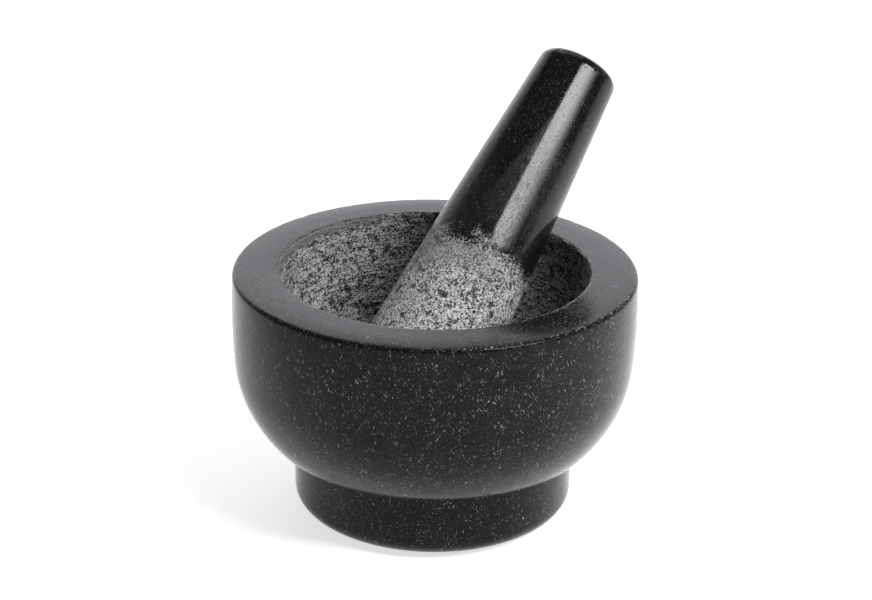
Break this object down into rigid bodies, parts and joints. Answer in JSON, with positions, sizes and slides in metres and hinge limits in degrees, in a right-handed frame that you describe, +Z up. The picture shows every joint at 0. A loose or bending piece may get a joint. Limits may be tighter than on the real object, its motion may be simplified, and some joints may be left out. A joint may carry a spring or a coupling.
{
  "type": "mortar and pestle",
  "caption": "Polished dark granite mortar with a thick flat rim, rough round cavity and low foot, with a tapered pestle leaning in it for grinding spices and salsas.",
  "frame": {"origin": "centre of the underside of the base pad, on the bowl's axis, at table level", "axes": "+Z up along the bowl's axis; the pestle leans towards +X and +Y, and the usual view is from -Y"},
  "size_m": [0.151, 0.154, 0.1624],
  "materials": {
    "bowl_stone": "polished dark granite outside, rough ground cavity",
    "pestle_stone": "polished dark granite shaft, rough speckled grinding end",
    "pad": "matt soft foam sheet"
  },
  "bodies": {
    "bowl": {"mortar": "bowl_stone", "base_pad": "pad"},
    "pestle": {"pestle": "pestle_stone"}
  },
  "joints": [
    {"name": "pestle_lift", "type": "slide", "parent": "bowl", "child": "pestle", "axis": [0, 0, 1], "range_m": [0, 0.08]}
  ]
}
